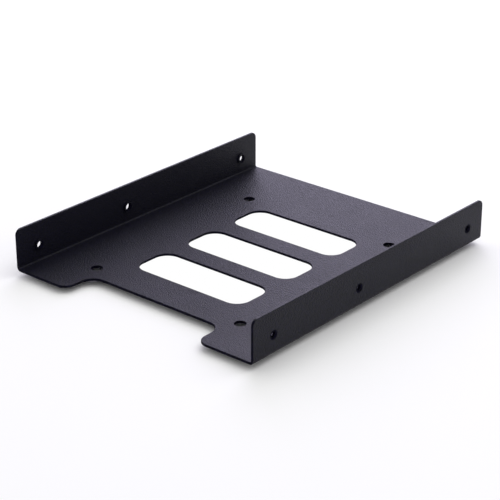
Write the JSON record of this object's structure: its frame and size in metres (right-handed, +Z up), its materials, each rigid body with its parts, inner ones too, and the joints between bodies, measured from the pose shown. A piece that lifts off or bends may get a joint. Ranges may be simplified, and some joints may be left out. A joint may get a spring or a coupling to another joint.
{
  "type": "drive bay adapter bracket",
  "caption": "Folded steel tray with side flanges, air slots and a notched front end, which screws a small drive into a larger drive bay.",
  "frame": {"origin": "on the underside of the plate, midway between the sides and midway between the ends", "axes": "+Y along the flanges from the notched front end to the plain back end, +X across to the right-hand flange, +Z up, the way the flanges stand"},
  "size_m": [0.101, 0.1194, 0.0147],
  "materials": {
    "powder_coat": "satin black powder coat with a fine grain"
  },
  "bodies": {
    "root": {"bracket": "powder_coat"}
  },
  "joints": []
}
